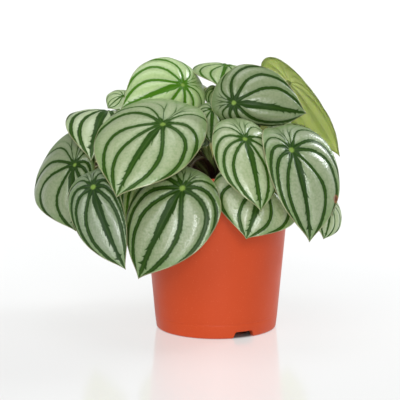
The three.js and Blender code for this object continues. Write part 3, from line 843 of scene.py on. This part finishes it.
class Look:
    """The nodes of a new material or world, with short calls for the kinds that it uses."""

    def __init__(self, name, kind=bpy.data.materials):
        self.made = kind.new(name)
        self.made.use_nodes = True
        self.nodes, self.links = self.made.node_tree.nodes, self.made.node_tree.links
        self.coordinates = self.node("ShaderNodeTexCoord").outputs
        self.place = self.coordinates["Object"]

    def node(self, kind, *values, **settings):
        """A new node with its settings, and with values for its first inputs."""
        made = self.nodes.new(kind)
        for key, value in settings.items():
            setattr(made, key, value)
        for socket, value in zip(made.inputs, values):
            self.put(socket, value)
        return made

    def put(self, socket, value):
        """Links another node's output to a socket, or sets the socket to a number or a colour."""
        if isinstance(value, bpy.types.NodeSocket):
            self.links.new(value, socket)
        elif isinstance(value, tuple) and len(value) == 3 and socket.type == "RGBA":
            socket.default_value = (*value, 1)
        else:
            socket.default_value = value

    def fill(self, node, **sockets):
        """Puts values to a node's inputs, named with _ for a space, and gives its first output."""
        for key, value in sockets.items():
            self.put(node.inputs[key.replace("_", " ")], value)
        return next(iter(node.outputs), None)

    def math(self, operation, *values):
        return self.node("ShaderNodeMath", *values, operation=operation).outputs[0]

    plus = partialmethod(math, "ADD")
    minus = partialmethod(math, "SUBTRACT")
    times = partialmethod(math, "MULTIPLY")
    times_plus = partialmethod(math, "MULTIPLY_ADD")

    def apart(self, first, second):
        return self.math("ABSOLUTE", self.minus(first, second))

    def span(self, value, low, high, to_low=0.0, to_high=1.0, smooth=True):
        """A value carried from one range to another, with soft ends or straight."""
        form = "SMOOTHSTEP" if smooth else "LINEAR"
        values = (value, low, high, to_low, to_high)
        return self.node("ShaderNodeMapRange", *values, interpolation_type=form).outputs[0]

    def mix(self, share, first, second, blend="MIX"):
        made = self.node("ShaderNodeMix", share, data_type="RGBA", blend_type=blend)
        self.put(made.inputs[6], first)
        self.put(made.inputs[7], second)
        return made.outputs[2]

    def noise(self, scale, detail=2.0, roughness=0.5, distortion=0.0):
        return self.fill(
            self.node("ShaderNodeTexNoise", self.place), Scale=scale, Detail=detail,
            Roughness=roughness, Distortion=distortion)

    def cells(self, scale):
        """Rounded bumps side by side."""
        return self.fill(
            self.node("ShaderNodeTexVoronoi", self.place, feature="SMOOTH_F1"), Scale=scale)

    def attribute(self, name):
        """The three numbers that the mesh holds under a name."""
        made = self.node("ShaderNodeAttribute", attribute_name=name)
        return self.node("ShaderNodeSeparateXYZ", made.outputs["Vector"]).outputs[:3]

    def curve(self, value, points):
        """A smooth curve through (x, y) points, from 0 to 1."""
        made = self.node("ShaderNodeFloatCurve")
        line = made.mapping.curves[0]
        line.points[0].location = points[0]
        line.points[1].location = points[-1]
        for point in points[1:-1]:
            line.points.new(*point)
        made.mapping.update()
        return self.fill(made, Value=value)

    def bump(self, height, strength, distance):
        made = self.node("ShaderNodeBump")
        return self.fill(made, Strength=strength, Distance=distance, Height=height)

    def roughness(self, scale, least, most, detail=2):
        """A roughness that wanders between two numbers over the surface."""
        return self.span(self.noise(scale, detail), 0.3, 0.7, least, most)

    def finish(self, **sockets):
        """Fills in the surface's inputs, and gives the finished material."""
        self.fill(self.nodes["Principled BSDF"], **sockets)
        return self.made


def vein_marks(look):
    """Where a point lies among its blade's veins: the nearest one, and how far off it is."""
    veins, share, spacing = look.attribute("fan")
    navel, margin, side = look.attribute("place")
    stray = look.times(look.minus(look.noise(60, 1), 0.5), VEIN_WAVER)
    counted = look.math("ABSOLUTE", look.times_plus(stray, look.span(share, 0.1, 0.6), veins))
    nearest = look.math("MINIMUM", look.math("ROUND", counted), SIDE_VEINS)
    off = look.times(look.apart(counted, nearest), spacing)
    return SimpleNamespace(
        off=off, share=share, navel=navel, margin=margin, side=side, nearest=nearest,
        counted=counted, spacing=spacing, order=look.math("DIVIDE", nearest, SIDE_VEINS))


def band_width(look, marks):
    """Half the width of a vein's dark band, broadest on the midrib and in a star at the navel."""
    midrib = look.span(marks.order, 0.1, 0.05)
    taper = look.minus(look.curve(marks.share, BAND_BY_SHARE), 1)
    taper = look.times_plus(taper, midrib, 1)
    crowded = look.span(marks.spacing, 0, CROWDED_SPACING, 0.3, 1, smooth=False)
    crowded = look.mix(look.span(marks.share, 0.35, 0.7), (1, 1, 1), crowded)
    width = look.times(look.curve(marks.order, BAND_BY_VEIN), taper)
    width = look.times(look.times(width, BAND_HALF_WIDTH), crowded)
    star = look.span(marks.navel, STAR_REACH, 2.5, 0, STAR_WIDENING)
    flare = look.span(marks.navel, MIDRIB_FLARE_REACH, 5, 0, MIDRIB_FLARE)
    return look.times_plus(midrib, flare, look.plus(width, star))


def hairlines(look, marks):
    """How far a point is from the thin forked veins behind the navel."""
    twice = look.times(marks.counted, 2)
    off = look.apart(twice, look.math("ROUND", twice))
    fork = look.span(marks.share, 0.3, 0.8, 0, 0.3)
    off = look.times(look.times(look.apart(off, fork), 0.5), marks.spacing)
    elsewhere = look.times(look.math("LESS_THAN", marks.counted, FIRST_HAIRLINE), FAR_OFF)
    return look.plus(look.plus(off, elsewhere), look.span(marks.share, 0.5, 0.85, 0, 0.6))


def spurs(look, marks):
    """Pointed teeth along the dark bands that lean to the tip, longest on the midrib."""
    steps = look.times_plus(marks.share, TEETH, look.times(marks.off, -0.35))
    steps = look.plus(steps, look.times(look.noise(120, 1), 1.2))
    whole = look.math("FLOOR", steps)
    part = look.minus(steps, whole)
    right = look.math("GREATER_THAN", marks.side, 0)
    key = look.node("ShaderNodeCombineXYZ", whole, right, marks.nearest).outputs[0]
    pick = look.node("ShaderNodeTexWhiteNoise", key, noise_dimensions="3D").outputs["Value"]
    tooth = look.times(look.math("POWER", part, 3), look.math("POWER", pick, 2.5))
    reach = look.curve(marks.order, TOOTH_BY_VEIN)
    fade = look.times(look.span(marks.share, 0.2, 0.45), TOOTH_LENGTH)
    return look.times(look.times(tooth, reach), fade)


def band_colour(look, marks, tone):
    """The dark green of the bands, lighter along the vein itself."""
    lighter, fresher, greyer = tone
    green = look.mix(look.noise(260, 3), *BAND_GREENS)
    green = look.mix(fresher, green, FRESH_BAND)
    green = look.mix(greyer, green, GREY_BAND)
    vein = look.times(look.span(marks.off, 0.6, 0.1), 0.35)
    green = look.mix(vein, green, VEIN_IN_BAND)
    # Painted shade: a blade with a tone below 0 has its bands darkened as well.
    return look.mix(look.times(lighter, -1), green, SHADED_BAND)


def silver_colour(look, marks, tone, gap, pebbles):
    """The silver between the bands, greener by a band, by the margin and round the navel."""
    lighter, fresher, greyer = tone
    silver = look.mix(look.noise(45, 2), *SILVERS)
    silver = look.mix(greyer, silver, GREY_SILVER)
    silver = look.mix(look.times(fresher, 0.8), silver, FRESH_SILVER)
    # Painted shade: the hollows between the bump's pebbles are darkened.
    silver = look.mix(look.span(pebbles, 0.25, 0.75), silver, SHADE_BETWEEN_PEBBLES, "MULTIPLY")
    for near, share, colour in (
            (look.span(gap, 2.6, 0.2), 0.45, SILVER_BY_BAND),
            (look.span(marks.margin, 9, 0.5), 0.62, SILVER_BY_MARGIN),
            (look.span(marks.navel, 11, 4), 0.5, SILVER_BY_NAVEL),
            # Partly painted light and shade: the blade's first tone number makes it paler where it is
            # painted as lit, and darker where it is painted as shaded.
            (lighter, 0.5, PALE_AND_LIT_SILVER),
            (lighter, -1, SHADED_SILVER)):
        silver = look.mix(look.times(near, share), silver, colour)
    return silver


def with_spots(look, marks, frayed, colour):
    """A blade's colour with the pale eye at its navel, its thin rim and its blemish."""
    eye = look.span(look.times_plus(frayed, 0.6, marks.navel), 2.9, 1)
    colour = look.mix(eye, colour, NAVEL_EYE)
    rim = look.span(look.plus(marks.margin, look.times(frayed, 0.4)), 0.8, 0.35)
    colour = look.mix(look.times(rim, 0.45), colour, LEAF_RIM)
    blemish = look.plus(look.attribute("blemish")[0], look.times(frayed, 0.35))
    colour = look.mix(look.span(blemish, 0.25, 0.5), colour, BLEMISH_EDGE)
    return look.mix(look.span(blemish, 0.5, 0.75), colour, BLEMISH_MIDDLE)


def leaf_top():
    """A blade's upper side: pebbled silver between dark bands along the veins."""
    look = Look("leaf_top")
    marks = vein_marks(look)
    tone = look.attribute("tone")
    frayed = look.times(look.minus(look.noise(550, 3, 0.6), 0.5), FRAYING)
    width = look.plus(band_width(look, marks), spurs(look, marks))
    from_band = look.minus(look.plus(marks.off, frayed), width)
    from_hairline = look.times_plus(frayed, 0.5, hairlines(look, marks))
    from_hairline = look.minus(from_hairline, HAIRLINE_HALF_WIDTH)
    gap = look.math("MINIMUM", from_band, from_hairline)
    silver_share = look.span(gap, -0.4, 0.55)
    pebbles = look.cells(650)
    silver = silver_colour(look, marks, tone, gap, pebbles)
    colour = look.mix(silver_share, band_colour(look, marks, tone), silver)

    height = look.times_plus(pebbles, -0.8, look.times(look.noise(300, 3), 0.8))
    height = look.times(height, look.span(silver_share, 0, 1, 0.25, 1))
    normal = look.bump(look.times_plus(silver_share, 0.5, height), 0.5, 0.0004)
    rough = look.plus(look.roughness(380, 0.34, 0.46), look.times(silver_share, 0.04))
    return look.finish(
        Base_Color=with_spots(look, marks, frayed, colour), Roughness=rough, Normal=normal,
        Specular_IOR_Level=0.06, Coat_Roughness=0.29, Coat_IOR=1.65, Coat_Normal=normal,
        Coat_Weight=look.span(silver_share, 0, 1, 0.1, 1))


def leaf_under():
    """A blade's underside: pale green, with ridges along the veins and a darker edge. The green is
    partly its own and partly painted light, made lighter to stand for the light that shines through the
    leaf.
    """
    look = Look("leaf_under")
    marks = vein_marks(look)
    colour = look.mix(look.noise(60, 3), *UNDERSIDES_LIT_THROUGH)
    ridge = look.span(marks.off, 1, 0.2)
    colour = look.mix(look.times(ridge, 0.15), colour, UNDERSIDE_RIDGE)
    rim = look.span(marks.margin, 4.5, 0.8)
    colour = look.mix(look.times(rim, 0.7), colour, UNDERSIDE_RIM)
    height = look.plus(look.times(ridge, 0.5), look.noise(420, 3))
    return look.finish(
        Base_Color=colour, Roughness=look.roughness(200, 0.42, 0.56),
        Normal=look.bump(height, 0.3, 0.0003), Subsurface_Weight=0.6,
        Subsurface_Radius=(1.0, 1.2, 0.4), Subsurface_Scale=0.002)


def stalk_material():
    """Dark red stalks that turn olive and then pale green towards the blade. The red and the olive are
    partly their own colour and partly painted shade: they are darkened to near black for the shade
    inside the crown.
    """
    look = Look("stalk")
    along, _, fresher = look.attribute("along")
    olive = look.mix(look.noise(200, 3), *SHADED_OLIVE_STALKS)
    red = look.mix(look.noise(500, 2), *SHADED_RED_STALKS)
    colour = look.mix(look.span(along, 0.4, 0.95), red, olive)
    colour = look.mix(look.span(along, 0.85, 1), colour, STALK_TIP)
    colour = look.mix(fresher, colour, FRESH_STALK)
    speckle = look.span(look.cells(1500), 0.35, 0.2, 0, 0.35)
    return look.finish(
        Base_Color=look.mix(speckle, colour, STALK_SPECKLE),
        Roughness=look.roughness(300, 0.38, 0.5),
        Normal=look.bump(look.noise(700, 3), 0.25, 0.0002))


def pot_material():
    look = Look("pot_plastic")
    colour = look.mix(look.noise(22, 3), *POT_ORANGES)
    colour = look.mix(look.span(look.noise(900, 2), 0.62, 0.75), colour, POT_SPECKLE)
    height = look.plus(look.noise(1600, 3), look.times(look.noise(90, 2), 1.5))
    return look.finish(
        Base_Color=colour, Roughness=look.roughness(60, 0.36, 0.44, 3),
        Normal=look.bump(height, 0.18, 0.0002), Specular_IOR_Level=0.25)


def soil_material():
    look = Look("potting_soil")
    colour = look.mix(look.noise(420, 4, 0.7), *PEATS)
    fibre = look.span(look.noise(900, 2, 0.5, 3), 0.60, 0.72)
    height = look.plus(look.noise(500, 5, 0.7), look.cells(700))
    return look.finish(
        Base_Color=look.mix(fibre, colour, PEAT_FIBRE),
        Roughness=look.roughness(150, 0.75, 0.95), Normal=look.bump(height, 1, 0.0008))


def grain_material():
    """Bark, or perlite where a grain is marked as white."""
    look = Look("soil_grain")
    white, shade, _ = look.attribute("grain")
    perlite = look.mix(look.noise(900, 3), *PERLITES)
    return look.finish(
        Base_Color=look.mix(white, look.mix(shade, *BARKS), perlite), Roughness=0.9,
        Normal=look.bump(look.noise(1500, 4, 0.7), 0.9, 0.0005))


def floor_material():
    """A pale glossy floor that glows like the backdrop, with a painted shadow under the pot, where the
    glow is left out.
    """
    look = Look("floor")
    tint = look.mix(look.noise(2, 2), *FLOOR_GREYS)
    glow = look.mix(look.noise(1.3, 1), *FLOOR_GLOWS)
    # Painted shadow: the glow fades out under the pot, so the floor is darker there.
    off = look.node("ShaderNodeVectorMath", look.place, operation="LENGTH").outputs["Value"]
    clear_of_painted_shadow = look.span(off, (BASE_RADIUS - 5) * MM, (BASE_RADIUS + 1) * MM)
    glow = look.mix(clear_of_painted_shadow, (0, 0, 0), glow)
    return look.finish(
        Base_Color=tint, Roughness=look.roughness(6, 0.12, 0.15), Emission_Color=glow,
        Emission_Strength=FLOOR_GLOW, Coat_Weight=0.4, Coat_Roughness=0.1)


# ---- Floor, light and camera ----

def make_floor():
    """A floor that reaches out of sight, just under the pot."""
    corners = [(-1, -1), (1, -1), (1, 1), (-1, 1)]
    points = [(x * FLOOR_HALF_SIZE, y * FLOOR_HALF_SIZE, -FLOOR_DROP) for x, y in corners]
    floor = mesh_object("floor", points, [(0, 1, 2, 3)])
    floor.data.materials.append(floor_material())


def make_world():
    """A white room: the backdrop is seen as it is, and lights the plant less than it looks."""
    look = Look("studio", bpy.data.worlds)
    seen = look.fill(look.nodes["Background"], Color=BACKDROP_TINT, Strength=BACKDROP_WHITE)
    _, away, up = look.node("ShaderNodeSeparateXYZ", look.coordinates["Generated"]).outputs
    low = look.span(away, 0, 0.7, ROOM_FRONT, BACKDROP_WHITE, smooth=False)
    strength = look.span(up, 0.15, 0.35, low, ROOM_LIGHT, smooth=False)
    around = look.node("ShaderNodeBackground", ROOM_TINT, strength).outputs[0]
    to_camera = look.node("ShaderNodeLightPath").outputs["Is Camera Ray"]
    choice = look.node("ShaderNodeMixShader", to_camera, around, seen).outputs[0]
    look.fill(look.nodes["World Output"], Surface=choice)
    bpy.context.scene.world = look.made


def make_light(name, place, width, height, power, colour=(1, 1, 1)):
    """An oblong lamp that points at LAMPS_AIM."""
    light = bpy.data.lights.new(name, "AREA")
    light.shape = "RECTANGLE"
    light.size, light.size_y = width, height
    light.energy = power
    light.color = colour
    lamp = bpy.data.objects.new(name, light)
    lamp.location = place
    lamp.rotation_euler = (Vector(LAMPS_AIM) - lamp.location).to_track_quat("-Z", "Y").to_euler()
    bpy.context.scene.collection.objects.link(lamp)


def make_camera():
    camera = bpy.data.cameras.new("camera")
    camera.lens = CAMERA_LENS
    holder = bpy.data.objects.new("camera", camera)
    holder.location = CAMERA_PLACE
    holder.rotation_euler = [math.radians(angle) for angle in CAMERA_TURN]
    bpy.context.scene.collection.objects.link(holder)
    bpy.context.scene.camera = holder


# ---- The whole scene ----

def dress():
    top, under = leaf_top(), leaf_under()
    for number, row in enumerate(BLADES, 1):
        finish_piece(blade_object(number, row), "leaf", [f"leaf_{number:02d}"], top, under)
    finish_piece(stems_object(), "stalk", ["stems"], stalk_material())
    finish_piece(pot_object(), "pot_plastic", ["pot"], pot_material())
    finish_piece(soil_object(), "potting_soil", ["soil"], soil_material())
    finish_piece(grains_object(), "potting_soil", [], grain_material())


dress()
make_floor()
make_world()
for lamp in LAMPS:
    make_light(*lamp)
make_camera()
bpy.context.scene.view_settings.view_transform = "Standard"
